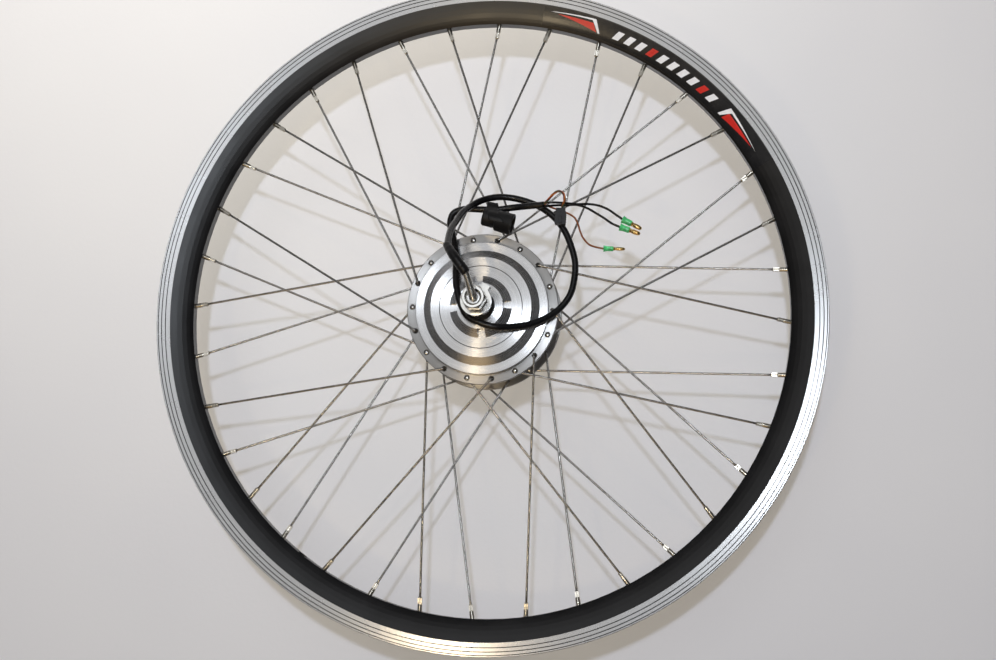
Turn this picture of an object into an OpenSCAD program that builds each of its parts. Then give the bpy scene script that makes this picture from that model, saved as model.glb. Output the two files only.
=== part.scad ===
// Geared hub motor laced into a 26 inch bicycle rear wheel, without tyre.
// Origin: centre of the rim on the axle's axis. +Z runs along the axle to the cable end.

/* [Rim] */
// Outside radius of the rim
rim_r = 286; // [270:1:300]
// Depth of the rim from the spoke bed to the outer edge
rim_depth = 30.5; // [28:0.5:34]
// Width of the rim across the brake tracks
rim_w = 24; // [22:0.5:28]
// Height of the machined brake track
brake_h = 12; // [10:0.5:13]
// Thickness of the rim's walls
rim_wall = 1.7; // [1.4:0.1:2]
// Angle of the valve hole, halfway between two nipples
valve_angle = 235; // [5:10:355]
// Diameter of the valve hole
valve_d = 8.5; // [6.5:0.5:8.5]

/* [Spokes] */
// Diameter of a plain spoke
spoke_d = 2; // [1.8:0.1:2.3]
// Circle through the spoke holes of a flange
spoke_pcd = 118; // [114:1:120]
// Diameter of a spoke hole in the flange
spoke_hole_d = 2.7; // [2.5:0.1:3]
// Length of a nipple outside the rim
nipple_len = 12; // [8:1:14]

/* [Hub] */
// Radius of the spoke flanges
flange_r = 63.5; // [62:0.5:66]
// Thickness of a flange
flange_t = 3; // [2.5:0.5:4]
// Height of the cable side flange's outer face
near_z = 28; // [27:0.5:29]
// Height of the drive side flange's outer face
far_z = -15; // [-17:0.5:-14]
// Radius of the drum between the flanges
drum_r = 53; // [52:0.5:54]
// Radius of the freewheel thread, 1.37 inch
thread_r = 17.4; // [17:0.1:18]

/* [Axle] */
// Radius of the M12 axle ends
axle_r = 6; // [5:0.5:6]
// Width across the axle's two flats
flat_w = 10; // [9.5:0.5:10.5]
// Half the width between the frame's dropouts
dropout_z = 67.5; // [66:0.5:70]
// Height of the axle's tip
tip_z = 86; // [84:1:90]
// Radius of the cable bore
cable_bore_r = 3.6; // [3.3:0.1:3.8]
// Direction of the flats and the torque washers' tabs
slot_angle = 60; // [0:5:90]

/* [Gears] */
// Module of the planetary gears
gear_m = 1; // [1]
// Teeth of the sun on the rotor
sun_z = 21; // [21]
// Teeth of each planet
planet_z = 33; // [33]
// Teeth of the ring gear, sun + 2 planets
ring_z = 87; // [87]
// Thinning of each tooth at the pitch circle
backlash = 0.12; // [0.08:0.02:0.2]

/* [Cable] */
// Diameter of the motor cable
cable_d = 5.5; // [5:0.5:6]
// Diameter of the two thick phase wires
phase_d = 2; // [1.6:0.2:2.4]
// Diameter of the thin wires
thin_d = 1.6; // [1.2:0.2:1.8]
// Diameter of the bundle of sensor wires
hall_d = 2.2; // [1.8:0.2:3]

/* [Hidden] */

$fn = 96;
bed_r = rim_r - rim_depth;
hole_r = spoke_pcd / 2;
spoke_r = spoke_d / 2;
families = 9;                  // spokes in each of the four groups
fam_step = 360 / families;
reach = 40;                    // angle from a nipple to its flange hole
orbit_r = gear_m * (sun_z + planet_z) / 2;
pressure = 20;
seam_angle = 5;                // keeps the seam of a turned solid off its holes

// Heights of the parts inside the hub
gear_top = -8.2;
gear_bot = -18.2;
ring_top = -7;
ring_bot = -19.2;
can_bot = -4;
can_top = 28.5;
stack_bot = 6;
stack_top = 22;
carrier_top = -19.5;
carrier_plate_t = 3;
clutch_bot = -28;

// Radii inside the motor
stator_r = 40;
magnet_in_r = 40.6;
can_in_r = 43;
can_out_r = 46;
shell_in_r = 48.5;
stator_teeth = 18;
magnets = 20;
hub_seat_r = 8.5;              // stepped up part of the axle
clutch_in_r = 9.5;
clutch_out_r = 13;
pin_r = 4;
planet_seat_r = 11;

// Cover profile
cover_r = 55.7;
cover_z = 33.5;
plateau_z = 39;
boss_z = 46;

// Bearings: [bore radius, outside radius, lower height, upper height]
brg_left = [hub_seat_r, 15, 37, 44];
brg_right = [axle_r, 14, -41, -33];
run_gap = 0.05;

// Routes of the loose cable and wires, in millimetres
sleeve_route = [[0, 0, 83], [0, 0, 89], [-1, 4.5, 95.5], [-2.8, 11, 101], [-5, 17.5, 104.6]];
shrink_route = [[-5, 17.5, 104.6], [-9.8, 23.5, 106], [-15.5, 31, 104.5], [-21, 39, 99]];
cable_route = [
    [-21, 39, 99], [-22, 48, 88], [-22, 57, 77], [-20, 66, 65], [-17, 76, 53], [-12, 84, 42],
    [-4, 91, 34], [8, 95, 30], [21, 95, 28], [34, 92, 28], [46, 87, 28], [57, 79, 28.3],
    [66, 68, 28.5], [72, 55, 29.3], [76, 41, 29.8], [76, 27, 30.6], [73, 13, 32], [65, 1, 34],
    [54, -8, 38], [41, -14, 42], [27, -17, 46], [14, -18, 50], [2, -15, 51], [-9, -10, 51],
    [-15, 0, 51], [-19, 12, 49], [-21, 25, 46], [-22, 38, 42], [-24, 50, 38], [-27, 61, 34],
    [-30, 71, 32], [-28, 80, 31], [-19, 84, 31], [-6, 84, 31], [8, 84, 31], [22, 86, 31],
    [36, 87, 34], [49, 88, 36]];
phase_1_route = [
    [49, 89.5, 36.5], [58, 90, 36], [67, 90, 34], [76, 90, 31], [85, 91, 28], [94, 90, 27],
    [102, 87, 26], [108, 83, 26], [114, 79, 26]];
phase_2_route = [
    [49, 86.5, 36.5], [58, 88, 34], [67, 89, 31], [76, 90, 28], [84, 88, 26], [92, 84, 24],
    [99, 80, 23], [105, 76, 23], [112, 73, 23]];
phase_3_route = [
    [49, 88, 34.5], [56, 86, 33], [63, 84, 31], [69, 82, 30], [74, 79, 29], [77, 74, 28],
    [79, 68, 27], [82, 62, 26], [87, 57, 25.4], [93, 55, 25], [99, 54, 25]];
hall_route = [
    [49, 88, 38], [53, 92, 40], [57, 96, 42], [61, 98, 43], [65, 96, 43], [66, 91, 41],
    [64, 85, 37]];

// Connectors: [start, direction, pin radius]
plugs = [
    [[114, 79, 26], [8, -4, 0], 2],
    [[112, 73, 23], [9, -3, 0], 2],
    [[99, 54, 25], [9, 0, 0], 1.5]];
connector_at = [63, 78, 37];
connector_size = [9, 14, 6];
cap_from = [-1.7, 76.6, 38];
cap_to = [23.4, 69.8, 38];
cap_loop_at = [5.5, 84.3, 32];

// ---------- helpers ----------

module turned(points) {
    rotate_extrude() polygon(points);
}

module ring(outer, inner, low, high) {
    translate([0, 0, low])
        difference() {
            cylinder(h = high - low, r = outer);
            translate([0, 0, -1])
                cylinder(h = high - low + 2, r = inner);
        }
}

// Turns +Z to the direction from one point to another and moves there
module along(from, to) {
    d = to - from;
    translate(from)
        rotate([0, acos(d[2] / norm(d)), atan2(d[1], d[0])])
            children();
}

module rod(from, to, r) {
    along(from, to)
        cylinder(h = norm(to - from), r = r, $fn = 24);
}

module copies(n, start = 0) {
    for (i = [0 : n - 1])
        rotate([0, 0, start + i * 360 / n])
            children();
}

module planets() {
    copies(3)
        translate([orbit_r, 0, 0])
            children();
}

function polar(r, a, z) = [r * cos(a), r * sin(a), z];
function unit(v) = v / norm(v);

// Tube swept along a route; ref is a direction that the route never takes
function tangent(p, i) = unit(p[min(i + 1, len(p) - 1)] - p[max(i - 1, 0)]);
function tube_ring(c, t, ref, r, n) = let (s = unit(cross(t, ref)), u = cross(s, t))
    [for (k = [0 : n - 1]) c + r * (cos(360 * k / n) * s + sin(360 * k / n) * u)];
function tube_points(p, ref, r, n) =
    [for (i = [0 : len(p) - 1]) each tube_ring(p[i], tangent(p, i), ref, r, n)];
function tube_faces(count, n) = concat(
    [[for (k = [0 : n - 1]) k]],
    [for (i = [0 : count - 2]) for (k = [0 : n - 1])
        [i * n + k, (i + 1) * n + k, (i + 1) * n + (k + 1) % n, i * n + (k + 1) % n]],
    [[for (k = [n - 1 : -1 : 0]) (count - 1) * n + k]]);

module tube(route, d, sides = 8, ref = [0, 0, 1]) {
    polyhedron(tube_points(route, ref, d / 2, sides), tube_faces(len(route), sides),
        convexity = 8);
}

// Involute teeth as [radius, half angle] pairs
function involute(a) = tan(a) * 180 / PI - a;
function half_angle(r, z, thin) = let (base = gear_m * z / 2 * cos(pressure))
    90 / z - thin * 90 / (PI * gear_m * z / 2) + involute(pressure)
    - involute(acos(min(1, base / r)));
function flank(z, low, high, thin) =
    [for (i = [0 : 4]) let (r = low + (high - low) * i / 4) [r, half_angle(r, z, thin)]];
function tooth(z, low, high, thin) = let (f = flank(z, low, high, thin)) concat(
    [for (i = [0 : 4]) [f[i][0], -f[i][1]]],
    [for (i = [4 : -1 : 0]) f[i]]);
function gear_outline(z, low, high, thin) = let (t = tooth(z, low, high, thin))
    [for (k = [0 : z - 1]) for (p = t)
        [p[0] * cos(p[1] + k * 360 / z), p[0] * sin(p[1] + k * 360 / z)]];

module gear_2d(z) {
    pitch = gear_m * z / 2;
    polygon(gear_outline(z, pitch - 1.25 * gear_m, pitch + gear_m, backlash));
}

// ---------- axle and its hardware ----------

module flats() {
    rotate([0, 0, slot_angle])
        translate([-15, -flat_w / 2, 0])
            cube([30, flat_w, 200]);
}

// Both ends of a mirrored pair
module side(right) {
    mirror([0, 0, right ? 1 : 0])
        children();
}

module axle() {
    core = [[0, -tip_z], [axle_r - 1, -tip_z], [axle_r, 1 - tip_z], [axle_r, 2.5],
        [hub_seat_r, 2.5], [hub_seat_r, 47], [axle_r, 47], [axle_r, tip_z - 1],
        [axle_r - 1, tip_z], [0, tip_z]];
    flat_from = 62;
    color("silver")
        difference() {
            turned(core);
            for (s = [0, 1])
                side(s == 1)
                    translate([0, 0, flat_from])
                        difference() {
                            cylinder(h = 40, r = 12);
                            translate([0, 0, -1])
                                flats();
                        }
            translate([0, 0, 20])
                cylinder(h = 80, r = cable_bore_r);
            translate([0, -3, 22.5])
                cube([12, 6, 4.5]);
        }
}

module hex(across, low, high) {
    translate([0, 0, low])
        cylinder(h = high - low, d = across / cos(30), $fn = 6);
}

module axle_nut(right) {
    low = 80.5;
    high = 90.5;
    color("silver")
        side(right)
            difference() {
                intersection() {
                    hex(18, low, high);
                    turned([[0, low], [9.6, low], [10.4, low + 0.8], [10.4, high - 1.9],
                        [8.6, high], [0, high]]);
                }
                translate([0, 0, low - 1])
                    cylinder(h = 20, r = axle_r);
                translate([0, 0, high - 1])
                    cylinder(h = 1.1, r1 = axle_r, r2 = axle_r + 0.9);
            }
}

module flat_washer(right) {
    color("silver")
        side(right)
            ring(12.5, axle_r + 0.2, dropout_z + 2.5, dropout_z + 5);
}

// Disc with a double D hole and a tab bent towards the wheel
module torque_washer(right) {
    color("gainsboro")
        side(right)
            difference() {
                union() {
                    translate([0, 0, dropout_z])
                        cylinder(h = 2.5, r = 12.5);
                    rotate([0, 0, slot_angle])
                        translate([8, -3.5, dropout_z])
                            cube([7.6, 7, 2.5]);
                    rotate([0, 0, slot_angle])
                        translate([13.2, -3.5, dropout_z - 5.5])
                            cube([2.4, 7, 8]);
                }
                intersection() {
                    translate([0, 0, dropout_z - 1])
                        cylinder(h = 5, r = axle_r + 0.1);
                    flats();
                }
            }
}

module locknut(right) {
    color("silver")
        side(right)
            difference() {
                hex(19, dropout_z - 5.5, dropout_z);
                translate([0, 0, dropout_z - 7])
                    cylinder(h = 10, r = axle_r);
            }
}

module spacer(right) {
    color("gainsboro")
        side(right)
            ring(right ? 9 : 9.5, axle_r, right ? -brg_right[2] : 47, dropout_z - 5.5);
}

// ---------- bearings and seals ----------

module inner_race(b, race_t, balls) {
    mid = (b[2] + b[3]) / 2;
    gap = b[1] - b[0] - 2 * race_t;
    ball_orbit = b[0] + race_t + gap / 2;
    color("silver") {
        ring(b[0] + race_t, b[0], b[2], b[3]);
        ring(ball_orbit + 0.3, ball_orbit - 0.3, mid - 0.5, mid + 0.5);
        copies(balls)
            translate([ball_orbit, 0, mid])
                sphere(r = gap / 2 - run_gap, $fn = 32);
    }
}

module outer_race(b, race_t) {
    color("silver")
        ring(b[1], b[1] - race_t, b[2], b[3]);
}

module sealed_bearing(bore, outer, low, high) {
    color("silver")
        ring(outer, bore + run_gap, low, high);
}

module seal_left() {
    color("black")
        ring(12.5, hub_seat_r + run_gap, 44.2, boss_z);
}

module seal_right() {
    color("black")
        ring(11.5, 9 + run_gap, -45, -43);
}

// ---------- stator ----------

module stator_hub() {
    color("silver")
        difference() {
            ring(22, hub_seat_r, stack_bot, stack_top);
            copies(6)
                translate([15.5, 0, 0])
                    cylinder(h = 30, r = 3.5);
        }
}

module stator_core() {
    color("dimgray")
        translate([0, 0, stack_bot])
            linear_extrude(stack_top - stack_bot)
                difference() {
                    union() {
                        circle(r = 28);
                        copies(stator_teeth)
                            translate([20, -2])
                                square([18, 4]);
                        difference() {
                            circle(r = stator_r);
                            circle(r = stator_r - 2.6);
                            copies(stator_teeth, 180 / stator_teeth)
                                translate([30, -1.1])
                                    square([20, 2.2]);
                        }
                    }
                    circle(r = 22);
                }
}

module stator_windings() {
    color("peru")
        copies(stator_teeth)
            translate([0, 0, stack_bot])
                difference() {
                    translate([29.2, -4.2, -3.5])
                        cube([7.8, 8.4, stack_top - stack_bot + 7]);
                    translate([25, -2.1, -0.1])
                        cube([14, 4.2, stack_top - stack_bot + 0.2]);
                }
}

module hall_board() {
    board_z = 25.8;
    color("darkgreen") {
        difference() {
            ring(39.4, 26, board_z, board_z + 1.2);
            translate([-50, -50, 0])
                cube([50, 100, 40]);
        }
        for (a = [-30, 10, 50])
            rotate([0, 0, a])
                translate([37.8, -2, board_z - 3])
                    cube([1.5, 4, 3.2]);
    }
}

// ---------- planet carrier and one-way clutch ----------

module planet_carrier() {
    low = carrier_top - carrier_plate_t;
    color("gray")
        difference() {
            union() {
                translate([0, 0, low])
                    cylinder(h = carrier_plate_t, r = 33);
                translate([0, 0, clutch_bot])
                    cylinder(h = carrier_top - clutch_bot, r = 18.5);
            }
            translate([0, 0, clutch_bot - 1])
                cylinder(h = 20, r = clutch_out_r);
            planets()
                translate([0, 0, low - 1])
                    cylinder(h = 10, r = pin_r);
            copies(3, 60)
                translate([25.5, 0, low - 1])
                    cylinder(h = 10, r = 4.5);
        }
}

module planet_pins() {
    color("silver")
        planets()
            translate([0, 0, carrier_top - carrier_plate_t])
                difference() {
                    cylinder(h = 14.7, r = pin_r);
                    translate([0, 0, 12.9])
                        ring(6, 3.5, 0, 0.8);
                }
}

module pin_circlips() {
    color("dimgray")
        planets()
            translate([0, 0, carrier_top - carrier_plate_t + 12.95])
                difference() {
                    ring(5.6, 3.5, 0, 0.7);
                    translate([2, -1.2, -1])
                        cube([5, 2.4, 3]);
                }
}

module clutch_race() {
    color("silver")
        ring(clutch_in_r, axle_r, clutch_bot, -20);
}

module clutch_rollers() {
    gap = clutch_out_r - clutch_in_r;
    color("gainsboro")
        copies(8)
            translate([clutch_in_r + gap / 2, 0, clutch_bot + 0.5])
                cylinder(h = 7, r = gap / 2 - 0.03, $fn = 32);
}

// ---------- rotor ----------

module rotor_can() {
    color("dimgray")
        difference() {
            turned([[10.5, can_bot], [can_out_r, can_bot], [can_out_r, can_top],
                [can_in_r, can_top], [can_in_r, can_bot + 3], [14, can_bot + 3], [14, 2],
                [10.5, 2]]);
            copies(6)
                translate([29, 0, can_bot - 1])
                    cylinder(h = 5, r = 6);
        }
}

module rotor_magnets() {
    color("silver")
        copies(magnets)
            translate([0, 0, 4])
                rotate_extrude(angle = 16.5)
                    translate([magnet_in_r, 0])
                        square([can_in_r - magnet_in_r, 20]);
}

module rotor_cover() {
    color("silver")
        difference() {
            turned([[13, 27.5], [16.5, 27.5], [16.5, can_top], [can_out_r, can_top],
                [can_out_r, 31], [16.5, 31], [16.5, 32.5], [13, 32.5]]);
            copies(6, 30)
                translate([30, 0, 27])
                    cylinder(h = 10, r = 5);
        }
}

module sun_gear() {
    color("silver")
        difference() {
            union() {
                translate([0, 0, gear_bot - 0.5])
                    linear_extrude(-7 - gear_bot + 0.5)
                        gear_2d(sun_z);
                translate([0, 0, -7.5])
                    cylinder(h = 2, r = 9);
                translate([0, 0, -6.5])
                    cylinder(h = 2.5, r = 14);
            }
            translate([0, 0, -25])
                cylinder(h = 30, r = 6.3);
        }
}

module planet_gear(k) {
    color("ivory")
        rotate([0, 0, 120 * (k - 1)])
            translate([orbit_r, 0, 0])
                difference() {
                    translate([0, 0, gear_bot])
                        linear_extrude(gear_top - gear_bot)
                            gear_2d(planet_z);
                    translate([0, 0, gear_bot - 1])
                        cylinder(h = 9.2, r = planet_seat_r);
                    translate([0, 0, gear_bot])
                        cylinder(h = 20, r = 9.5);
                }
}

module planet_bearing(k) {
    color("silver")
        rotate([0, 0, 120 * (k - 1)])
            translate([orbit_r, 0, 0])
                ring(planet_seat_r, pin_r + run_gap, gear_bot + 1.2, gear_bot + 8.2);
}

module ring_gear() {
    pitch = gear_m * ring_z / 2;
    color("gray")
        translate([0, 0, ring_bot])
            linear_extrude(ring_top - ring_bot)
                difference() {
                    circle(r = shell_in_r);
                    polygon(gear_outline(ring_z, pitch - gear_m, pitch + 1.25 * gear_m,
                        -backlash));
                }
}

// ---------- hub shell and cover ----------

module flange_holes(face, thick, start, up) {
    sink = 1;
    copies(2 * families, start)
        translate([hole_r, 0, 0]) {
            translate([0, 0, min(face, face - up * thick) - 1])
                cylinder(h = thick + 2, d = spoke_hole_d, $fn = 24);
            translate([0, 0, up > 0 ? face - sink : face - 0.1])
                cylinder(h = sink + 0.1, r1 = up > 0 ? spoke_hole_d / 2 : 2.5,
                    r2 = up > 0 ? 2.5 : spoke_hole_d / 2, $fn = 24);
        }
}

module hub_shell() {
    inner_near = near_z - flange_t;
    inner_far = far_z + flange_t;
    color("gainsboro")
        difference() {
            rotate([0, 0, seam_angle])
                turned([
                    [50, near_z], [50, 22], [shell_in_r, 22], [shell_in_r, ring_bot],
                    [36, ring_bot], [36, -23.3], [20, -23.3], [20, -28.5], [14, -28.5],
                    [14, brg_right[2]], [11.5, brg_right[2]], [11.5, -45], [thread_r - 1, -45],
                    [thread_r, -44], [thread_r, -33.5], [thread_r - 0.8, -33.2],
                    [thread_r - 0.8, -32], [21, -32], [25, -27.5], [42, -27.5], [48.4, -22.5],
                    [cover_r - 0.5, -22.5], [cover_r, -22], [cover_r, far_z],
                    [flange_r - 0.5, far_z], [flange_r, far_z + 0.5],
                    [flange_r, inner_far - 0.5], [flange_r - 0.5, inner_far],
                    [drum_r + 1.5, inner_far], [drum_r, inner_far + 1.5],
                    [drum_r, inner_near - 1.5], [drum_r + 1.5, inner_near],
                    [flange_r - 0.5, inner_near], [flange_r, inner_near + 0.5],
                    [flange_r, near_z - 0.5], [flange_r - 0.5, near_z]]);
            flange_holes(near_z, flange_t, 0, 1);
            flange_holes(far_z, flange_t, 10, -1);
        }
}

module left_cover() {
    low = near_z + 0.6;
    groove_r = 34.5;
    slot_w = 6.2;
    color("white")
        difference() {
            turned([
                [47, 22.3], [49.95, 22.3], [49.95, low], [cover_r, low], [cover_r, cover_z - 0.5],
                [cover_r - 0.5, cover_z], [48.4, cover_z], [42, plateau_z],
                [groove_r + 0.3, plateau_z], [groove_r + 0.3, plateau_z - 0.5],
                [groove_r - 0.3, plateau_z - 0.5], [groove_r - 0.3, plateau_z],
                [26, plateau_z], [19.6, boss_z - 0.3], [19.3, boss_z], [12.5, boss_z],
                [12.5, brg_left[3]], [brg_left[1], brg_left[3]], [brg_left[1], 35.5],
                [38, 35.5], [44, 32.3], [47, 31.6]]);
            copies(4, 5)
                translate([18.9, -slot_w / 2, plateau_z])
                    cube([8, slot_w, 10]);
        }
}

module cover_gasket() {
    color("black")
        ring(cover_r - 1.2, 50, near_z, near_z + 0.6);
}

// ---------- rim, spokes and nipples ----------

// Family: [first nipple, turn to the flange hole, height of the spoke, height of the head]
left_out = [0, reach, near_z + spoke_r + 0.9, near_z - flange_t - 0.45];
left_in = [20, -reach, near_z - flange_t - spoke_r - 0.1, near_z + 0.1];
right_in = [10, reach, far_z + flange_t + spoke_r + 0.1, far_z - 0.1];
right_out = [30, -reach, far_z - spoke_r - 0.5, far_z + flange_t + 0.45];
all_families = [left_out, left_in, right_in, right_out];

function bend_point(f, i) = polar(hole_r, f[0] + f[1] + i * fam_step, f[2]);
function bed_point(f, i) = polar(bed_r, f[0] + i * fam_step, 0);
function on_spoke(f, i, d) = let (p = bend_point(f, i), q = bed_point(f, i))
    q + d * unit(q - p);

module spoke_group(f) {
    head_t = 0.8;
    bend_swell = 0.08;
    shank_r = spoke_r + 0.04;
    low = min(f[2], f[3]);
    color("silver")
        for (i = [0 : families - 1]) {
            bend = bend_point(f, i);
            rod(bend, on_spoke(f, i, 1), spoke_r);
            translate(bend)
                sphere(r = spoke_r + bend_swell, $fn = 24);
            translate([bend[0], bend[1], low])
                cylinder(h = abs(f[2] - f[3]), r = shank_r, $fn = 24);
            translate([bend[0], bend[1], f[3] - head_t / 2])
                cylinder(h = head_t, r = 2, $fn = 24);
        }
}

module nipples() {
    color("silver")
        for (f = all_families)
            for (i = [0 : families - 1])
                difference() {
                    union() {
                        rod(on_spoke(f, i, -nipple_len), on_spoke(f, i, 3), 2);
                        rod(on_spoke(f, i, 2.4), on_spoke(f, i, 4.2), 3.1);
                    }
                    rod(on_spoke(f, i, -nipple_len - 1), on_spoke(f, i, 2), spoke_r + 0.03);
                }
}

// Half thickness of the rim's rounded side wall at a radius
function wall_z(r) = let (t = (rim_r - brake_h - r) / (rim_depth - brake_h))
    rim_w / 2 - (rim_w / 2 - 4.5) * (0.8 * t + 0.2 * pow(t, 4));

// The half above the middle plane, followed by its mirror image
module both_halves(half) {
    polygon(concat(half, [for (i = [len(half) - 1 : -1 : 0]) [half[i][0], -half[i][1]]]));
}

module rim_profile() {
    w = rim_w / 2;
    track = rim_r - brake_h;
    groove = 0.25;
    both_halves([
        for (d = [0, 1, 2.6, 5.2, 8.8, 13]) [bed_r + d, wall_z(bed_r + d)],
        [track, w],
        each [for (g = [4, 7.4, 10.3]) each [[track + g - 0.25, w],
            [track + g, w - groove], [track + g + 0.25, w]]],
        [rim_r - 0.5, w], [rim_r, w - 0.5], [rim_r, w - 1.6], [rim_r - 1.4, w - 2.5],
        [rim_r - 3, w - rim_wall], [rim_r - 6.5, w - rim_wall], [rim_r - 6.5, 7], [rim_r - 10, 5]]);
}

module rim_chamber() {
    side_z = rim_w / 2 - rim_wall - 0.3;
    both_halves([
        [bed_r + 2, 3.6],
        for (d = [4.5, 8, 12.5]) [bed_r + d, wall_z(bed_r + d) - rim_wall - 0.3],
        [rim_r - 13, side_z], [rim_r - 8.6, side_z], [rim_r - 8.6, 7.8], [rim_r - 11.8, 5.4]]);
}

module rim() {
    color([0.05, 0.05, 0.055])
        difference() {
            rotate([0, 0, seam_angle])
                rotate_extrude($fn = 180) rim_profile();
            rotate([0, 0, seam_angle])
                rotate_extrude($fn = 180) rim_chamber();
            for (f = all_families)
                for (i = [0 : families - 1]) {
                    rod(on_spoke(f, i, -3), on_spoke(f, i, 6), 2.15);
                    rotate([0, 90, f[0] + i * fam_step])
                        translate([0, 0, rim_r - 15])
                            cylinder(h = 10, r = 4.2, $fn = 24);
                }
            rotate([0, 90, valve_angle])
                translate([0, 0, bed_r - 5])
                    cylinder(h = 35, d = valve_d);
        }
}

// ---------- cable, wires and connectors ----------

module cable_sleeve() {
    color("lightgray")
        tube(sleeve_route, 6.5, 12, [0.91, 0.42, 0]);
}

module heat_shrink() {
    color("black")
        tube(shrink_route, 8, 12);
}

module motor_cable() {
    color("black")
        tube(cable_route, cable_d, 10);
}

module phase_wire_1() {
    color("black")
        tube(phase_1_route, phase_d);
}

module phase_wire_2() {
    color("black")
        tube(phase_2_route, phase_d);
}

module phase_wire_3() {
    color("saddlebrown")
        tube(phase_3_route, thin_d);
}

module hall_wires() {
    color("saddlebrown")
        tube(hall_route, hall_d);
}

module hall_connector() {
    color("black")
        difference() {
            translate(connector_at - connector_size / 2)
                cube(connector_size);
            translate(connector_at - [3.5, connector_size[1] / 2 + 1, 2])
                cube([7, 8, 4]);
        }
}

module bullet_pins() {
    color("gold")
        for (p = plugs)
            along(p[0], p[0] + p[1])
                turned([[0, 8], [p[2], 8], [p[2], 13], [p[2] * 0.85, 13.6], [p[2], 14.2],
                    [p[2] * 0.9, 16], [p[2] * 0.5, 17.5], [0, 18]]);
}

module bullet_sleeves() {
    color("mediumseagreen")
        for (p = plugs)
            along(p[0], p[0] + p[1])
                turned([[0, 0], [p[2] + 1.3, 0], [p[2] + 0.6, 3], [p[2] + 0.6, 8], [0, 8]]);
}

// Rubber cap of the axle nut with a loop around the cable
module nut_cap() {
    color("black") {
        along(cap_from, cap_to)
            turned([
                [0, 0], [6.8, 0], [7.4, 0.6], [7.4, 10.5], [9, 12], [9, 26], [7.4, 26],
                [7.4, 13], [5.9, 12], [5.9, 2], [0, 2]]);
        translate(cap_loop_at)
            rotate([0, 90, 4])
                ring(5, 3.8, -4, 4.5);
        translate([2.2, 80.6, 35])
            cube([7, 3.4, 4.6]);
    }
}

axle();
axle_nut(false);  // axle_nut_left
axle_nut(true);  // axle_nut_right
flat_washer(false);  // flat_washer_left
flat_washer(true);  // flat_washer_right
torque_washer(false);  // torque_washer_left
torque_washer(true);  // torque_washer_right
locknut(false);  // locknut_left
locknut(true);  // locknut_right
spacer(false);  // spacer_left
spacer(true);  // spacer_right
inner_race(brg_left, 1.8, 12);  // hub_bearing_left_inner
inner_race(brg_right, 2.3, 9);  // hub_bearing_right_inner
stator_hub();
stator_core();
stator_windings();
hall_board();
planet_carrier();
planet_pins();
pin_circlips();
clutch_race();
clutch_rollers();
cable_sleeve();
heat_shrink();
motor_cable();
phase_wire_1();
phase_wire_2();
phase_wire_3();
hall_wires();
hall_connector();
bullet_pins();
bullet_sleeves();
nut_cap();
hub_shell();
left_cover();
cover_gasket();
ring_gear();
outer_race(brg_left, 1.8);  // hub_bearing_left_outer
outer_race(brg_right, 2.3);  // hub_bearing_right_outer
seal_left();
seal_right();
rim();
spoke_group(left_out);  // spokes_left_outer
spoke_group(left_in);  // spokes_left_inner
spoke_group(right_in);  // spokes_right_inner
spoke_group(right_out);  // spokes_right_outer
nipples();
rotor_can();
rotor_magnets();
rotor_cover();
sealed_bearing(hub_seat_r, 13, 27.5, 32.5);  // rotor_bearing_left
sealed_bearing(axle_r, 10.5, -3.5, 1.5);  // rotor_bearing_right
sun_gear();
planet_gear(1);  // planet_gear_1
planet_gear(2);  // planet_gear_2
planet_gear(3);  // planet_gear_3
planet_bearing(1);  // planet_bearing_1
planet_bearing(2);  // planet_bearing_2
planet_bearing(3);  // planet_bearing_3
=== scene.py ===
import math

import bpy
import bmesh
from mathutils import Matrix, Vector


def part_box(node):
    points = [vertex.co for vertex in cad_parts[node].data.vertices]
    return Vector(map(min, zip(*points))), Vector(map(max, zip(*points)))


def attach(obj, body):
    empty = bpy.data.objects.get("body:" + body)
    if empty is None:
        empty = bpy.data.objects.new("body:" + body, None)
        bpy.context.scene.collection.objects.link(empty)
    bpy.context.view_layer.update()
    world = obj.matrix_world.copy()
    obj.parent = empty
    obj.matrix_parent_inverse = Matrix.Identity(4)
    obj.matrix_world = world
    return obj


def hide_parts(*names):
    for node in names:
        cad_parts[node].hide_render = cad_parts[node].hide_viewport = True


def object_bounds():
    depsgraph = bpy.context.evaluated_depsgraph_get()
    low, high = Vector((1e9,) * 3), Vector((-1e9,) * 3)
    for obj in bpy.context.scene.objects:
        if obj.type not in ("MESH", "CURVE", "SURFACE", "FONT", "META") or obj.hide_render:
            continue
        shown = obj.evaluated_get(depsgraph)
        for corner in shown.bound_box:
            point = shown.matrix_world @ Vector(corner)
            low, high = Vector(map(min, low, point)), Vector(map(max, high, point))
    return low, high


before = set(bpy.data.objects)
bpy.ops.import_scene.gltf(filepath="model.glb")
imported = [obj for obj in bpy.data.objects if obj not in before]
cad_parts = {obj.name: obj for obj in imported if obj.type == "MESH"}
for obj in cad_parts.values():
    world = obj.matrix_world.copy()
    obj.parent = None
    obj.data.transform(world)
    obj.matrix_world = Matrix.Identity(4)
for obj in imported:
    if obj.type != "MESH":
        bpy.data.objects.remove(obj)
cad_lo, cad_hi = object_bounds()
bpy.context.scene.view_settings.view_transform = "Standard"

MM = 0.001


# ---------- camera ----------

CAMERA_AT = Vector((0.1604, -0.1920, 1.2530))
LOOK_AT = Vector((0.0106, -0.0134, 0.0))
CAMERA_UP = Vector((-0.0446, 0.999, 0.0))
LENS_MM = 54.2


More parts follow.
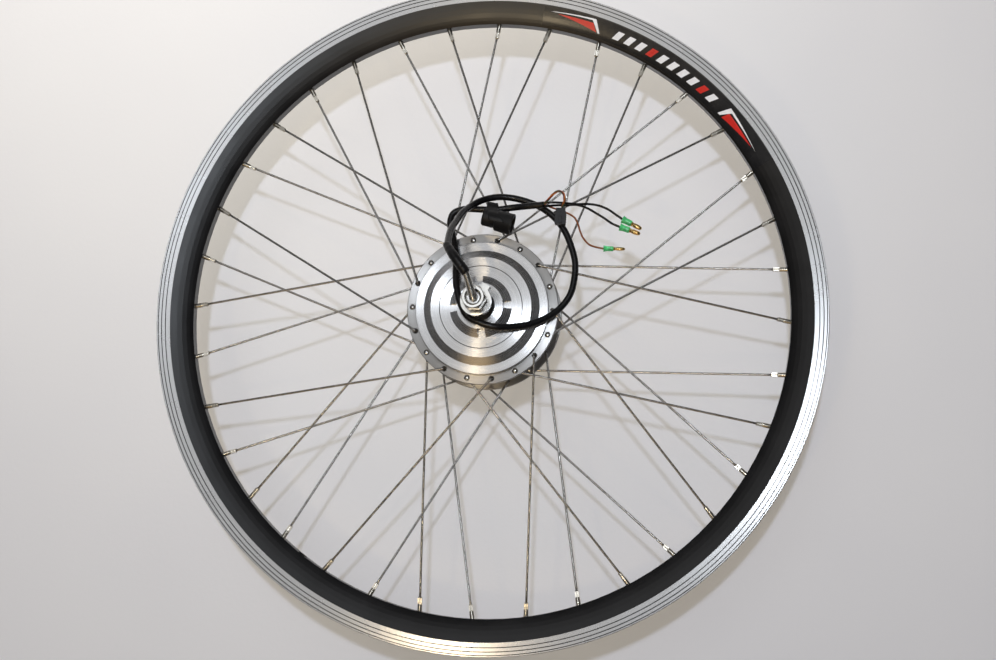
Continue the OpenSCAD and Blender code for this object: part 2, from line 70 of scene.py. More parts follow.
def make_camera():
    data = bpy.data.cameras.new("camera")
    cam = bpy.data.objects.new("camera", data)
    bpy.context.collection.objects.link(cam)
    back = (CAMERA_AT - LOOK_AT).normalized()
    right = CAMERA_UP.cross(back).normalized()
    up = back.cross(right)
    turn = Matrix((right, up, back)).transposed()
    cam.matrix_world = Matrix.Translation(CAMERA_AT) @ turn.to_4x4()
    data.lens = LENS_MM
    data.sensor_width = 36
    data.clip_start = 0.01
    data.clip_end = 50
    bpy.context.scene.camera = cam


make_camera()


# ---------- materials ----------


class Shader:
    """A principled material with a few shortcuts for its nodes."""

    def __init__(self, name, color, roughness=0.5, metallic=0.0, **sockets):
        self.mat = bpy.data.materials.new(name)
        self.mat.use_nodes = True
        self.tree = self.mat.node_tree
        self.nodes = self.tree.nodes
        self.bsdf = self.nodes["Principled BSDF"]
        self.bsdf.inputs["Base Color"].default_value = (*color, 1)
        self.bsdf.inputs["Roughness"].default_value = roughness
        self.bsdf.inputs["Metallic"].default_value = metallic
        for key, value in sockets.items():
            self.bsdf.inputs[key.replace("_", " ")].default_value = value
        self.place = self.add("ShaderNodeTexCoord").outputs["Object"]

    def add(self, kind, **props):
        n = self.nodes.new(kind)
        for key, value in props.items():
            setattr(n, key, value)
        return n

    def link(self, out, to):
        self.tree.links.new(out, to)

    def math(self, op, a, b=0.0):
        n = self.add("ShaderNodeMath", operation=op)
        for i, v in enumerate((a, b)):
            if isinstance(v, (int, float)):
                n.inputs[i].default_value = v
            else:
                self.link(v, n.inputs[i])
        return n.outputs[0]

    def noise(self, scale, detail=3.0, rough=0.5, stretch=None):
        n = self.add("ShaderNodeTexNoise")
        n.inputs["Scale"].default_value = scale
        n.inputs["Detail"].default_value = detail
        n.inputs["Roughness"].default_value = rough
        vector = self.place
        if stretch:
            m = self.add("ShaderNodeMapping")
            m.inputs["Scale"].default_value = stretch
            self.link(vector, m.inputs["Vector"])
            vector = m.outputs[0]
        self.link(vector, n.inputs["Vector"])
        return n.outputs["Fac"]

    def rings(self, frequency, detail=2.0):
        """Noise that changes only with the distance from the Z axis, as lathe marks do."""
        n = self.add("ShaderNodeTexNoise", noise_dimensions="1D")
        n.inputs["Scale"].default_value = frequency
        n.inputs["Detail"].default_value = detail
        self.link(self.radius(), n.inputs["W"])
        return n.outputs["Fac"]

    def xyz(self):
        n = self.add("ShaderNodeSeparateXYZ")
        self.link(self.place, n.inputs[0])
        return n.outputs

    def radius(self):
        x, y, _ = self.xyz()
        sum_ = self.math("ADD", self.math("MULTIPLY", x, x), self.math("MULTIPLY", y, y))
        return self.math("SQRT", sum_)

    def span(self, value, low, high, a, b):
        """Maps value from low..high to a..b, clamped."""
        n = self.add("ShaderNodeMapRange")
        self.link(value, n.inputs["Value"])
        for key, v in zip(("From Min", "From Max", "To Min", "To Max"), (low, high, a, b)):
            n.inputs[key].default_value = v
        return n.outputs[0]

    def mix(self, fac, a, b):
        n = self.add("ShaderNodeMix", data_type="RGBA")
        if isinstance(fac, (int, float)):
            n.inputs[0].default_value = fac
        else:
            self.link(fac, n.inputs[0])
        for i, v in ((6, a), (7, b)):
            if isinstance(v, tuple):
                n.inputs[i].default_value = (*v, 1)
            else:
                self.link(v, n.inputs[i])
        return n.outputs[2]

    def bump(self, height, distance):
        n = self.add("ShaderNodeBump")
        n.inputs["Distance"].default_value = distance
        n.inputs["Strength"].default_value = 1.0
        self.link(height, n.inputs["Height"])
        before = self.bsdf.inputs["Normal"].links
        if before:
            self.link(before[0].from_socket, n.inputs["Normal"])
        self.link(n.outputs[0], self.bsdf.inputs["Normal"])

    def radial_grain(self):
        """Marks run round the Z axis, so the highlights stretch across them, outwards."""
        n = self.add("ShaderNodeTangent", direction_type="RADIAL", axis="Z")
        self.link(n.outputs[0], self.bsdf.inputs["Tangent"])
        self.bsdf.inputs["Anisotropic Rotation"].default_value = 0.25

    def drive(self, socket, value):
        self.link(value, self.bsdf.inputs[socket])


def turned_metal(name, color, roughness, aniso, marks, groove=None):
    """Metal turned on a lathe about Z: fine rings, slight staining and a radial sheen.

    groove is the middle and half the width of a narrow groove; a near-black ring is painted there
    as painted shade in the groove.
    """
    s = Shader(name, color, roughness, 1.0, Anisotropic=aniso)
    s.radial_grain()
    fine = s.rings(2600, 1.0)
    broad = s.rings(260, 3.0)
    smudge = s.noise(38, 4.0, 0.6)
    tone = s.math("MULTIPLY", s.span(broad, 0.3, 0.7, 0.95, 1.02),
                  s.span(smudge, 0.3, 0.75, 1.0, 0.93))
    dark = tuple(c * 0.82 for c in color)
    metal = s.mix(s.span(tone, 0.86, 1.02, 0, 1), dark, color)
    if groove:
        # Painted shade: a near-black ring painted over the groove, where shade falls inside it.
        off = s.math("ABSOLUTE", s.math("SUBTRACT", s.radius(), groove[0]))
        groove_shade = s.span(off, groove[1] * 0.8, groove[1] * 1.1, 1, 0)
        metal = s.mix(groove_shade, metal, (0.03, 0.03, 0.03))
    s.drive("Base Color", metal)
    s.drive("Roughness", s.math("ADD", s.span(fine, 0.3, 0.7, roughness - 0.02, roughness + 0.03),
                                s.span(smudge, 0.4, 0.8, 0.0, 0.05)))
    s.bump(fine, marks)
    return s.mat


def plain_metal(name, color, roughness, scale=900, depth=0.00001, spots=0.0):
    """Ground, drawn or plated metal with slight uneven tone."""
    s = Shader(name, color, roughness, 1.0)
    grain = s.noise(scale, 3.0, 0.6)
    cloud = s.noise(60, 4.0, 0.6)
    s.drive("Roughness", s.math("ADD", s.span(grain, 0.3, 0.7, roughness - 0.05, roughness + 0.06),
                                s.span(cloud, 0.45, 0.75, 0.0, 0.08)))
    dull = tuple(c * 0.72 for c in color)
    s.drive("Base Color", s.mix(s.span(cloud, 0.35, 0.8, 0.0, 0.35 + spots), color, dull))
    s.bump(grain, depth)
    return s.mat


# Depths of the brake track's wear grooves from its inner edge, in millimetres, as in the CAD
GROOVES = (4, 7.4, 10.3)
TRACK_W = 12 * MM


def rim_metal():
    """Black anodising, with the two brake tracks machined bright."""
    s = Shader("rim_anodised", (0.02, 0.02, 0.022), 0.34, 0.0, Specular_IOR_Level=0.55)
    s.radial_grain()
    r = s.radius()
    z = s.math("ABSOLUTE", s.xyz()[2])
    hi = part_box("rim")[1]
    half_w = hi[2]
    track_r = hi[0] - TRACK_W
    on_face = s.span(z, half_w - 0.45 * MM, half_w - 0.3 * MM, 0, 1)
    bright = s.math("MULTIPLY", on_face, s.span(r, track_r - 0.1 * MM, track_r + 0.15 * MM, 0, 1))
    fine = s.rings(3200, 1.0)
    cloud = s.noise(30, 4.0, 0.6)
    scuff = s.noise(140, 5.0, 0.7)
    black = s.mix(s.span(cloud, 0.3, 0.75, 0, 1), (0.004, 0.004, 0.0045), (0.008, 0.008, 0.009))
    black = s.mix(s.span(scuff, 0.68, 0.80, 0, 0.35), black, (0.04, 0.04, 0.04))
    silver = s.mix(s.span(fine, 0.3, 0.7, 0, 1), (0.58, 0.58, 0.585), (0.74, 0.74, 0.745))
    # Painted shade: a near-black line painted over each wear groove, standing in for the shade
    # inside it.
    for depth in GROOVES:
        off = s.math("ABSOLUTE", s.math("SUBTRACT", r, track_r + depth * MM))
        silver = s.mix(s.span(off, 0.28 * MM, 0.42 * MM, 1, 0), silver, (0.05, 0.045, 0.045))
    s.drive("Base Color", s.mix(bright, black, silver))
    s.drive("Metallic", bright)
    s.drive("Anisotropic", s.math("MULTIPLY", bright, 0.92))
    dull = s.span(cloud, 0.3, 0.7, 0.29, 0.36)
    s.drive("Roughness", s.math("ADD", dull, s.math("MULTIPLY", bright, -0.05)))
    s.bump(s.math("MULTIPLY", fine, bright), 0.00001)
    s.bump(s.noise(1500, 2.0, 0.5), 0.000006)
    return s.mat


def soft_black(name, color, roughness, grain=1400, depth=0.00003, coat=0.0):
    """Rubber, vinyl or moulded plastic: fine pores, dust and handling marks."""
    s = Shader(name, color, roughness, 0.0, Coat_Weight=coat, Coat_Roughness=0.25,
               Specular_IOR_Level=0.36)
    pores = s.noise(grain, 3.0, 0.6)
    dust = s.noise(90, 5.0, 0.65)
    pale = tuple(min(1.0, c * 1.4 + 0.003) for c in color)
    s.drive("Base Color", s.mix(s.span(dust, 0.45, 0.8, 0, 0.8), color, pale))
    s.drive("Roughness", s.span(dust, 0.3, 0.75, roughness - 0.04, roughness + 0.08))
    s.bump(pores, depth)
    return s.mat


def clear_vinyl(name, color):
    s = Shader(name, color, 0.22, 0.0, Transmission_Weight=0.55, IOR=1.46, Coat_Weight=0.3)
    cloud = s.noise(500, 3.0, 0.5)
    pale = tuple(min(1.0, c * 1.5 + 0.06) for c in color)
    s.drive("Base Color", s.mix(s.span(cloud, 0.3, 0.7, 0, 1), color, pale))
    s.bump(cloud, 0.00008)
    return s.mat


def laminations():
    s = Shader("laminations", (0.16, 0.17, 0.19), 0.42, 0.9)
    z = s.xyz()[2]
    sheet = s.math("FRACT", s.math("MULTIPLY", z, 2000.0))
    s.bump(s.span(sheet, 0.0, 0.2, 0, 1), 0.00005)
    s.drive("Roughness", s.span(s.noise(200), 0.3, 0.7, 0.35, 0.5))
    return s.mat


def windings():
    s = Shader("copper", (0.60, 0.24, 0.09), 0.28, 1.0, Coat_Weight=0.5)
    z = s.xyz()[2]
    turn = s.math("SINE", s.math("MULTIPLY", z, 9000.0))
    s.bump(turn, 0.00012)
    s.drive("Base Color", s.mix(s.span(s.noise(300), 0.3, 0.7, 0, 1), (0.52, 0.19, 0.07),
                                (0.68, 0.30, 0.12)))
    return s.mat


def circuit_board():
    s = Shader("circuit_board", (0.02, 0.16, 0.07), 0.35, 0.0, Coat_Weight=0.6)
    lanes = s.noise(700, 0.0, 0.5, stretch=(1, 0.2, 1))
    s.drive("Base Color", s.mix(s.span(lanes, 0.5, 0.54, 0, 1), (0.015, 0.13, 0.055),
                                (0.03, 0.24, 0.10)))
    return s.mat


def nylon():
    s = Shader("nylon", (0.80, 0.77, 0.68), 0.45, 0.0, Subsurface_Weight=0.15)
    s.bsdf.inputs["Subsurface Radius"].default_value = (0.002, 0.0015, 0.001)
    s.drive("Roughness", s.span(s.noise(250), 0.3, 0.7, 0.38, 0.52))
    s.bump(s.noise(1200), 0.00002)
    return s.mat


def floor_paint():
    s = Shader("floor", (0.80, 0.80, 0.80), 0.62, 0.0)
    cloud = s.noise(3.0, 3.0, 0.5)
    s.drive("Base Color", s.mix(s.span(cloud, 0.3, 0.7, 0, 1), (0.775, 0.775, 0.78),
                                (0.82, 0.818, 0.81)))
    s.bump(s.noise(220, 3.0, 0.6), 0.0001)
    return s.mat


MATS = {
    "turned": turned_metal("turned_aluminium", (0.76, 0.76, 0.77), 0.25, 0.93, 0.000012,
                           (34.5 * MM, 0.33 * MM)),
    "cast": turned_metal("machined_casting", (0.42, 0.41, 0.40), 0.30, 0.9, 0.00003),
    "rim": rim_metal(),
    "stainless": plain_metal("stainless_spoke", (0.47, 0.46, 0.445), 0.24, 1200),
    "nickel": plain_metal("nickel_nipple", (0.56, 0.53, 0.47), 0.26, 1500),
    "zinc": plain_metal("zinc_plate", (0.78, 0.77, 0.74), 0.18, 700, 0.00001, 0.2),
    "axle": turned_metal("axle_steel", (0.62, 0.61, 0.60), 0.25, 0.4, 0.00002),
    "bearing": plain_metal("bearing_steel", (0.74, 0.74, 0.75), 0.12),
    "black_steel": plain_metal("black_steel", (0.10, 0.10, 0.11), 0.38, 500),
    "magnet": plain_metal("magnet_plate", (0.66, 0.65, 0.62), 0.2),
    "brass": plain_metal("brass", (0.80, 0.56, 0.23), 0.2, 1000),
    "lamination": laminations(),
    "copper": windings(),
    "board": circuit_board(),
    "nylon": nylon(),
    "rubber": soft_black("black_rubber", (0.006, 0.006, 0.0065), 0.46, 900, 0.00004),
    "jacket": soft_black("cable_jacket", (0.005, 0.005, 0.0055), 0.26, 1500, 0.00001),
    "shrink": soft_black("heat_shrink", (0.006, 0.006, 0.0065), 0.36, 500, 0.00008),
    "plastic": soft_black("black_plastic", (0.006, 0.006, 0.007), 0.40, 1400, 0.00002),
    "brown": soft_black("brown_insulation", (0.20, 0.065, 0.022), 0.38, 1500, 0.00002),
    "orange": soft_black("orange_insulation", (0.42, 0.12, 0.02), 0.38, 1500, 0.00002),
    "dark_red": soft_black("dark_red_insulation", (0.13, 0.012, 0.010), 0.38, 1500, 0.00002),
    "dark_green": soft_black("dark_green_insulation", (0.012, 0.05, 0.025), 0.38, 1500, 0.00002),
    "green": clear_vinyl("green_vinyl", (0.10, 0.52, 0.22)),
    "decal_black": soft_black("decal_black", (0.009, 0.009, 0.010), 0.22, 500, 0.000004, 0.3),
    "decal_white": soft_black("decal_white", (0.80, 0.80, 0.80), 0.3, 500, 0.000004, 0.3),
    "decal_red": soft_black("decal_red", (0.55, 0.018, 0.012), 0.3, 500, 0.000004, 0.3),
}

FINISH = {
    "axle": "axle", "axle_nut_left": "zinc", "axle_nut_right": "zinc",
    "flat_washer_left": "zinc", "flat_washer_right": "zinc",
    "torque_washer_left": "zinc", "torque_washer_right": "zinc",
    "locknut_left": "zinc", "locknut_right": "zinc",
    "spacer_left": "axle", "spacer_right": "axle",
    "hub_bearing_left_inner": "bearing", "hub_bearing_right_inner": "bearing",
    "hub_bearing_left_outer": "bearing", "hub_bearing_right_outer": "bearing",
    "stator_hub": "cast", "stator_core": "lamination", "stator_windings": "copper",
    "hall_board": "board", "planet_carrier": "black_steel", "planet_pins": "bearing",
    "pin_circlips": "black_steel", "clutch_race": "bearing", "clutch_rollers": "bearing",
    "hub_shell": "cast", "left_cover": "turned", "cover_gasket": "rubber",
    "ring_gear": "black_steel", "seal_left": "rubber", "seal_right": "rubber",
    "rim": "rim", "rotor_can": "black_steel", "rotor_magnets": "magnet",
    "rotor_cover": "cast", "rotor_bearing_left": "bearing", "rotor_bearing_right": "bearing",
    "sun_gear": "bearing", "planet_gear_1": "nylon", "planet_gear_2": "nylon",
    "planet_gear_3": "nylon", "planet_bearing_1": "bearing", "planet_bearing_2": "bearing",
    "planet_bearing_3": "bearing",
}


def finish_node(node, material):
    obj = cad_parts[node]
    for s in obj.material_slots:
        s.material = MATS[material]
    if not obj.material_slots:
        obj.data.materials.append(MATS[material])


for node_name, finish_name in FINISH.items():
    finish_node(node_name, finish_name)


# ---------- mesh helpers ----------


def new_piece(name, verts, faces, material, body, slot, smooth=True):
    """A mesh object in one material that moves with a body."""
    mesh = bpy.data.meshes.new(name)
    mesh.from_pydata([tuple(v) for v in verts], [], faces)
    mesh.update()
    bm = bmesh.new()
    bm.from_mesh(mesh)
    bmesh.ops.recalc_face_normals(bm, faces=bm.faces)
    bm.to_mesh(mesh)
    bm.free()
    mesh.materials.append(MATS[material])
    if smooth:
        mesh.shade_smooth()
    obj = bpy.data.objects.new(name, mesh)
    bpy.context.collection.objects.link(obj)
    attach(obj, body)
    return obj


def curve_through(points, per_span):
    """A smooth line through all the points (centripetal Catmull-Rom)."""
    pts = [Vector(p) for p in points]
    pts = [2 * pts[0] - pts[1], *pts, 2 * pts[-1] - pts[-2]]
    line = []
    for i in range(1, len(pts) - 2):
        p = pts[i - 1 : i + 3]
        t = [0.0]
        for a, b in zip(p, p[1:]):
            t.append(t[-1] + max((b - a).length, 1e-9) ** 0.5)
        for k in range(per_span):
            u = t[1] + (t[2] - t[1]) * k / per_span
            a = [((t[j + 1] - u) * p[j] + (u - t[j]) * p[j + 1]) / (t[j + 1] - t[j])
                 for j in range(3)]
            b = [((t[j + 2] - u) * a[j] + (u - t[j]) * a[j + 1]) / (t[j + 2] - t[j])
                 for j in range(2)]
            line.append(((t[2] - u) * b[0] + (u - t[1]) * b[1]) / (t[2] - t[1]))
    return [*line, pts[-2]]


def length_of(line):
    return sum((b - a).length for a, b in zip(line, line[1:]))


def frames_along(line):
    """A side and an up vector at each point, carried along without twist."""
    tangents = [(line[min(i + 1, len(line) - 1)] - line[max(i - 1, 0)]).normalized()
                for i in range(len(line))]
    side = tangents[0].orthogonal().normalized()
    out = []
    for t in tangents:
        side = (side - t * side.dot(t)).normalized()
        out.append((side, t.cross(side), t))
    return out


def tube_mesh(line, radii, sides):
    """A tube round a line, closed at both ends."""
    verts, faces = [], []
    frames = frames_along(line)
    for p, r, (s, u, _) in zip(line, radii, frames):
        for k in range(sides):
            a = 2 * math.pi * k / sides
            verts.append(p + r * (math.cos(a) * s + math.sin(a) * u))
    for i in range(len(line) - 1):
        for k in range(sides):
            n = (k + 1) % sides
            faces.append((i * sides + k, i * sides + n, (i + 1) * sides + n,
                          (i + 1) * sides + k))
    faces.append(tuple(reversed(range(sides))))
    faces.append(tuple((len(line) - 1) * sides + k for k in range(sides)))
    return verts, faces


def join(*parts):
    verts, faces = [], []
    for v, f in parts:
        base = len(verts)
        verts.extend(v)
        faces.extend(tuple(i + base for i in face) for face in f)
    return verts, faces


def lathe(profile, at, axis, segments=48, closed=False):
    """Turns (radius, distance) points round an axis from a point; radius 0 makes a pole."""
    axis = Vector(axis).normalized()
    side = axis.orthogonal().normalized()
    up = axis.cross(side)
    at = Vector(at)
    verts, faces, rows = [], [], []
    for r, d in profile:
        if r <= 0:
            rows.append([len(verts)] * segments)
            verts.append(at + axis * d)
            continue
        rows.append(list(range(len(verts), len(verts) + segments)))
        for k in range(segments):
            a = 2 * math.pi * k / segments
            verts.append(at + axis * d + r * (math.cos(a) * side + math.sin(a) * up))
    pairs = list(zip(rows, rows[1:]))
    if closed:
        pairs.append((rows[-1], rows[0]))
    for a, b in pairs:
        for k in range(segments):
            n = (k + 1) % segments
            face = []
            for i in (a[k], a[n], b[n], b[k]):
                if i not in face:
                    face.append(i)
            if len(face) > 2:
                faces.append(tuple(face))
    return verts, faces


def soften(obj, width):
    """Rounds sharp edges and keeps flat faces flat."""
    bevel = obj.modifiers.new("bevel", "BEVEL")
    bevel.width = width
    bevel.segments = 2
    bevel.limit_method = "ANGLE"
    bevel.angle_limit = math.radians(35)
    bevel.harden_normals = True
    return obj


def box_mesh(lo, hi):
    x0, y0, z0 = lo
    x1, y1, z1 = hi
    verts = [Vector(p) for p in (
        (x0, y0, z0), (x1, y0, z0), (x1, y1, z0), (x0, y1, z0),
        (x0, y0, z1), (x1, y0, z1), (x1, y1, z1), (x0, y1, z1))]
    faces = [(0, 3, 2, 1), (4, 5, 6, 7), (0, 1, 5, 4), (1, 2, 6, 5), (2, 3, 7, 6), (3, 0, 4, 7)]
    return verts, faces


def mm(points):
    return [Vector(p) * MM for p in points]


# ---------- loose cable and wires ----------

SLEEVE_ROUTE = [(0, 0, 83), (0, 0, 89), (-1, 4.5, 95.5), (-2.8, 11, 101), (-5, 17.5, 104.6)]
SHRINK_ROUTE = [(-5, 17.5, 104.6), (-9.8, 23.5, 106), (-15.5, 31, 104.5), (-21, 39, 99)]
CABLE_ROUTE = [
    (-21, 39, 99), (-22, 48, 88), (-22, 57, 77), (-20, 66, 65), (-17, 76, 53), (-12, 84, 42),
    (-4, 91, 34), (8, 95, 30), (21, 95, 28), (34, 92, 28), (46, 87, 28), (57, 79, 28.3),
    (66, 68, 28.5), (72, 55, 29.3), (76, 41, 29.8), (76, 27, 30.6), (73, 13, 32), (65, 1, 34),
    (54, -8, 38), (41, -14, 42), (27, -17, 46), (14, -18, 50), (2, -15, 51), (-9, -10, 51),
    (-15, 0, 51), (-19, 12, 49), (-21, 25, 46), (-22, 38, 42), (-24, 50, 38), (-27, 61, 34),
    (-30, 71, 32), (-28, 80, 31), (-19, 84, 31), (-6, 84, 31), (8, 84, 31), (22, 86, 31),
    (36, 87, 34), (49, 88, 36)]
PHASE_1_ROUTE = [
    (49, 89.5, 36.5), (58, 90, 36), (67, 90, 34), (76, 90, 31), (85, 91, 28), (94, 90, 27),
    (102, 87, 26), (108, 83, 26), (114, 79, 26)]
PHASE_2_ROUTE = [
    (49, 86.5, 36.5), (58, 88, 34), (67, 89, 31), (76, 90, 28), (84, 88, 26), (92, 84, 24),
    (99, 80, 23), (105, 76, 23), (112, 73, 23)]
PHASE_3_ROUTE = [
    (49, 88, 34.5), (56, 86, 33), (63, 84, 31), (69, 82, 30), (74, 79, 29), (77, 74, 28),
    (79, 68, 27), (82, 62, 26), (87, 57, 25.4), (93, 55, 25), (99, 54, 25)]
HALL_ROUTE = [
    (49, 88, 38), (53, 92, 40), (57, 96, 42), (61, 98, 43), (65, 96, 43), (66, 91, 41),
    (64, 85, 37)]
CABLE_D = 5.5 * MM
PHASE_D = 2.0 * MM
THIN_D = 1.6 * MM


def flexible(name, route, d, material, slot, sides=16):
    """A cable or wire that stands for the CAD node of its name."""
    line = curve_through(mm(route), 6)
    verts, faces = tube_mesh(line, [d / 2] * len(line), sides)
    obj = new_piece(name, verts, faces, material, "axle_set", slot)
    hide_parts(name.replace("_jacket", ""))
    return obj, line


def spring_guard():
    """A tightly wound steel spring round the cable where it leaves the axle."""
    line = curve_through(mm(SLEEVE_ROUTE), 40)
    wire_r = 0.49 * MM
    coil_r = 2.75 * MM
    pitch = 0.98 * MM
    per_turn = 14
    steps = int(length_of(line) / pitch * per_turn)
    frames = frames_along(line)
    helix = []
    for i in range(steps + 1):
        at = i / steps * (len(line) - 1)
        k = min(int(at), len(line) - 2)
        s, u, _ = frames[k]
        centre = line[k].lerp(line[k + 1], at - k)
        a = 2 * math.pi * i / per_turn
        helix.append(centre + coil_r * (math.cos(a) * s + math.sin(a) * u))
    coil = tube_mesh(helix, [wire_r] * len(helix), 6)
    core = tube_mesh(line[::4] + [line[-1]], [2.5 * MM] * (len(line[::4]) + 1), 16)
    obj = new_piece("spring_guard", *coil, "zinc", "axle_set", "stainless_steel")
    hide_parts("cable_sleeve")
    liner = new_piece("cable_in_guard", *core, "jacket", "axle_set", "black_jacket")
    return obj, liner


def shrink_tube():
    """Heat shrink over the end of the guard, pulled in at both ends and slightly wrinkled."""
    line = curve_through(mm(SHRINK_ROUTE), 16)
    first = (line[0] - line[1]).normalized()
    last = (line[-1] - line[-2]).normalized()
    line = [line[0] + first * 1.5 * MM, *line, line[-1] + last * 1.5 * MM]
    n = len(line)
    radii = []
    for i in range(n):
        t = i / (n - 1)
        base = 3.95 - 0.75 * max(0.0, (t - 0.55) / 0.45) ** 1.5
        base -= 0.35 * max(0.0, 1 - t / 0.06)
        radii.append((base + 0.07 * math.sin(t * 31) + 0.05 * math.sin(t * 53 + 1)) * MM)
    verts, faces = tube_mesh(line, radii, 24)
    obj = new_piece("shrink_tube", verts, faces, "shrink", "axle_set", "black_rubber")
    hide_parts("heat_shrink")
    return obj


def wire_bundle():
    """Four thin sensor wires of different colours, lightly twisted together."""
    line = curve_through(mm(HALL_ROUTE), 12)
    frames = frames_along(line)
    count = 4
    strands = []
    for k in range(count):
        path, run = [], 0.0
        for i, (p, (s, u, _)) in enumerate(zip(line, frames)):
            run += (p - line[i - 1]).length if i else 0.0
            a = 2 * math.pi / count * k + run / (16 * MM) * 2 * math.pi
            path.append(p + 0.62 * MM * (math.cos(a) * s + math.sin(a) * u))
        strands.append(tube_mesh(path, [0.47 * MM] * len(path), 10))
    obj = new_piece("hall_wires_jacket", *join(*strands), "brown", "axle_set",
                    "brown_insulation")
    each = len(obj.data.polygons) // count
    for name in ("orange", "dark_red", "dark_green"):
        obj.data.materials.append(MATS[name])
    for poly in obj.data.polygons:
        poly.material_index = poly.index // each
    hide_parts("hall_wires")
    return obj, line


guard, liner = spring_guard()
shrink = shrink_tube()
cable, cable_line = flexible("motor_cable_jacket", CABLE_ROUTE, CABLE_D, "jacket",
                             "black_jacket", 20)
wire_1, line_1 = flexible("phase_wire_1_jacket", PHASE_1_ROUTE, PHASE_D, "jacket",
                          "black_jacket")
wire_2, line_2 = flexible("phase_wire_2_jacket", PHASE_2_ROUTE, PHASE_D, "jacket",
                          "black_jacket")
wire_3, line_3 = flexible("phase_wire_3_jacket", PHASE_3_ROUTE, THIN_D, "brown",
                          "brown_insulation")
hall, hall_line = wire_bundle()

# Plug: (where the wire ends, in millimetres, the way it points, radius of its pin)
PLUGS = [((114, 79, 26), (8, -4, 0), 2.0), ((112, 73, 23), (9, -3, 0), 2.0),
         ((99, 54, 25), (9, 0, 0), 1.5)]


def bullet(at, axis, r):
    """Brass bullet pin: crimp barrel, slotted spring bulge and rounded nose."""
    return lathe([(r * u * MM, d * MM) for u, d in (
        (0.0, 4.0), (0.8, 4.0), (0.85, 4.6), (0.85, 8.4), (1.0, 8.6), (1.0, 9.2), (0.8, 9.6),
        (0.8, 10.4), (0.95, 11.2), (1.0, 12.4), (1.0, 13.4), (0.95, 14.8), (0.9, 15.8),
        (0.8, 16.7), (0.6, 17.4), (0.3, 17.85), (0.0, 18.0))], Vector(at) * MM, axis, 28)


def bullet_sleeve(at, axis, r):
    """Soft vinyl sleeve over the crimp, flared where the wire goes in."""
    outer = [(r + 1.3, 0), (r + 1.22, 0.4), (r + 0.9, 1.7), (r + 0.6, 3.2), (r + 0.6, 7.4),
             (r + 0.5, 8.2)]
    inner = [(r + 0.1, 8.2), (r + 0.1, 3.3), (r + 0.45, 1.8), (r + 0.9, 0.3)]
    return lathe([(a * MM, d * MM) for a, d in outer + inner], Vector(at) * MM, axis, 28,
                 closed=True)


pins = new_piece("bullet_pin_set", *join(*[bullet(*p) for p in PLUGS]), "brass", "axle_set",
                 "brass_pin")
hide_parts("bullet_pins")
sleeves = new_piece("bullet_sleeve_set", *join(*[bullet_sleeve(*p) for p in PLUGS]), "green",
                    "axle_set", "green_sleeve")
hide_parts("bullet_sleeves")


def sensor_plug():
    """Small crimp housing with a latch, a wire mouth and ribs."""
    lo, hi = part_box("hall_connector")
    lo, hi = Vector(lo), Vector(hi)
    w = hi - lo
    wall = 0.7 * MM
    shell = box_mesh(lo, (hi.x, hi.y - 3 * MM, hi.z))
    mouth = box_mesh((lo.x + wall, hi.y - 3.2 * MM, lo.z + wall), (hi.x - wall, hi.y, hi.z - wall))
    latch = box_mesh((lo.x + w.x * 0.34, lo.y + 1 * MM, hi.z - 0.1 * MM),
                     (lo.x + w.x * 0.66, lo.y + 7 * MM, hi.z + 0.9 * MM))
    ribs = [box_mesh((lo.x - 0.35 * MM, lo.y + d * MM, lo.z + 1 * MM),
                     (hi.x + 0.35 * MM, lo.y + (d + 0.8) * MM, hi.z - 1 * MM))
            for d in (2.0, 4.0, 6.0, 8.0)]
    obj = new_piece("sensor_plug", *join(shell, mouth, latch, *ribs), "plastic", "axle_set",
                    "black_plastic", smooth=False)
    soften(obj, 0.25 * MM)
    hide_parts("hall_connector")
    return obj


plug = sensor_plug()

CAP_FROM = Vector((-1.7, 76.6, 38)) * MM
CAP_TO = Vector((23.4, 69.8, 38)) * MM
CAP_LOOP_AT = Vector((5.5, 84.3, 32)) * MM


def band_mesh(line, widths, thick, across):
    """A flat strap with rounded edges along a line; across is the way its width lies."""
    across = Vector(across).normalized()
    verts, faces, sides = [], [], 16
    for i, (p, w) in enumerate(zip(line, widths)):
        t = (line[min(i + 1, len(line) - 1)] - line[max(i - 1, 0)]).normalized()
        up = t.cross(across).normalized()
        for k in range(sides):
            a = 2 * math.pi * k / sides
            c, n = math.cos(a), math.sin(a)
            verts.append(p + across * w / 2 * math.copysign(abs(c) ** 0.4, c)
                         + up * thick / 2 * math.copysign(abs(n) ** 0.6, n))
    for i in range(len(line) - 1):
        for k in range(sides):
            m = (k + 1) % sides
            faces.append((i * sides + k, i * sides + m, (i + 1) * sides + m,
                          (i + 1) * sides + k))
    faces.append(tuple(reversed(range(sides))))
    faces.append(tuple((len(line) - 1) * sides + k for k in range(sides)))
    return verts, faces


